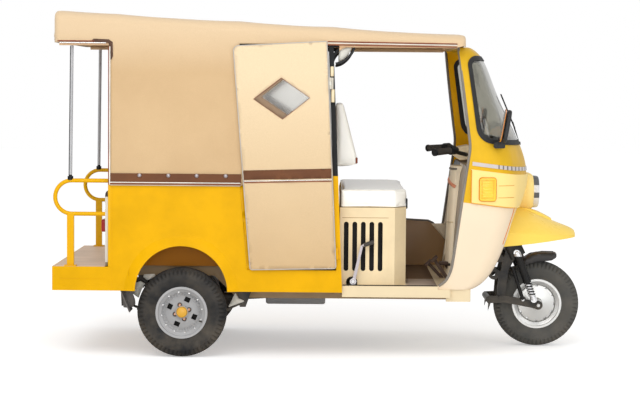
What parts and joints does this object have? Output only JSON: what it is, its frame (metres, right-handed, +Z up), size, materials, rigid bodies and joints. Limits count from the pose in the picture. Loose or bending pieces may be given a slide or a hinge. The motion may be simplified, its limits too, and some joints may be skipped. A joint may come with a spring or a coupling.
{
  "type": "auto rickshaw",
  "caption": "Motor tricycle taxi with a canvas canopy on tube bows, a closed pressed cab front, back-to-back passenger benches, hinged canvas doors and a rear step",
  "frame": {"origin": "on the ground, midway between the rear face of the step and the foremost point of the front tyre", "axes": "+X forward, +Y to the vehicle's left, +Z up"},
  "size_m": [2.8459, 1.456, 1.8331],
  "materials": {
    "yellow_paint": "gloss",
    "cream_paint": "gloss",
    "black_paint": "satin",
    "chassis_paint": "satin",
    "lamp_yellow": "gloss",
    "canvas": "matt",
    "strap": "matt",
    "cream_vinyl": "satin",
    "dark_vinyl": "satin",
    "clear_film": "clear",
    "glass": "clear",
    "rubber": "matt",
    "tyre": "matt",
    "silver_paint": "satin",
    "chrome": "polished",
    "steel": "brushed",
    "aluminium": "cast",
    "amber_lens": "gloss",
    "red_lens": "gloss",
    "black_plastic": "matt",
    "wood_board": "painted",
    "dark_plastic": "matt",
    "tread_plate": "satin"
  },
  "bodies": {
    "vehicle": {"backrest_front": "dark_vinyl", "backrest_rear": "dark_vinyl", "beak": "yellow_paint", "bench_base": "wood_board", "bright_strip": "chrome", "cab_floor": "cream_paint", "cab_shell": "yellow_paint", "canopy_cover": "canvas", "canopy_frame": "black_paint", "chassis_frame": "chassis_paint", "dash": "black_plastic", "door_hinges": "steel", "driver_backrest": "cream_vinyl", "engine": "aluminium", "engine_box": "cream_paint", "exhaust": "steel", "fascia": "lamp_yellow", "headlamp": "chrome", "hem_straps": "strap", "indicator_left": "amber_lens", "indicator_right": "amber_lens", "kick_lever": "steel", "leaf_spring_left": "black_paint", "leaf_spring_right": "black_paint", "leg_shield": "cream_paint", "mirror_left": "black_plastic", "mirror_right": "black_plastic", "mud_flap_left": "rubber", "mud_flap_right": "rubber", "pedals": "steel", "pole_left": "steel", "pole_right": "steel", "rear_axle": "black_paint", "rear_tub": "yellow_paint", "seat_front": "dark_vinyl", "seat_rear": "dark_vinyl", "side_panel_left": "yellow_paint", "side_rail_left": "yellow_paint", "side_rail_right": "yellow_paint", "step_deck": "tread_plate", "tail_lamps": "red_lens", "windscreen": "glass", "windscreen_gasket": "rubber", "wiper": "black_plastic"},
    "steering": {"fork": "black_paint", "handlebar": "black_plastic", "link_arm": "black_paint", "shock_absorbers": "chrome", "front_mudguard": "dark_plastic"},
    "front_wheel": {"front_tyre": "tyre", "front_rim": "silver_paint"},
    "wheel_right": {"rear_tyre_right": "tyre", "rear_rim_right": "silver_paint"},
    "wheel_left": {"rear_tyre_left": "tyre", "rear_rim_left": "silver_paint"},
    "door_right": {"door_right": "canvas", "door_window_right": "clear_film"},
    "door_left": {"door_left": "canvas", "door_window_left": "clear_film"},
    "driver_seat": {"driver_seat": "cream_vinyl"}
  },
  "joints": [
    {"name": "steering_turn", "type": "hinge", "parent": "vehicle", "child": "steering", "pos_m": [1.056, 0, 0.541], "axis": [-0.4384, 0, 0.8988], "range_deg": [-35, 35]},
    {"name": "front_wheel_spin", "type": "hinge", "parent": "steering", "child": "front_wheel", "pos_m": [1.186, 0, 0.237], "axis": [0, 1, 0], "continuous": true},
    {"name": "rear_wheel_right_spin", "type": "hinge", "parent": "vehicle", "child": "wheel_right", "pos_m": [-0.745, -0.56, 0.237], "axis": [0, 1, 0], "continuous": true},
    {"name": "rear_wheel_left_spin", "type": "hinge", "parent": "vehicle", "child": "wheel_left", "pos_m": [-0.745, 0.56, 0.237], "axis": [0, 1, 0], "continuous": true},
    {"name": "door_right_swing", "type": "hinge", "parent": "vehicle", "child": "door_right", "pos_m": [0.076, -0.652, 0.482], "axis": [-0.048, 0, 0.9988], "range_deg": [0, 75]},
    {"name": "door_left_swing", "type": "hinge", "parent": "vehicle", "child": "door_left", "pos_m": [0.076, 0.652, 0.482], "axis": [-0.048, 0, 0.9988], "range_deg": [-75, 0]},
    {"name": "driver_seat_tilt", "type": "hinge", "parent": "vehicle", "child": "driver_seat", "pos_m": [0.088, 0, 0.7973], "axis": [0, 1, 0], "range_deg": [-30, 0]}
  ]
}
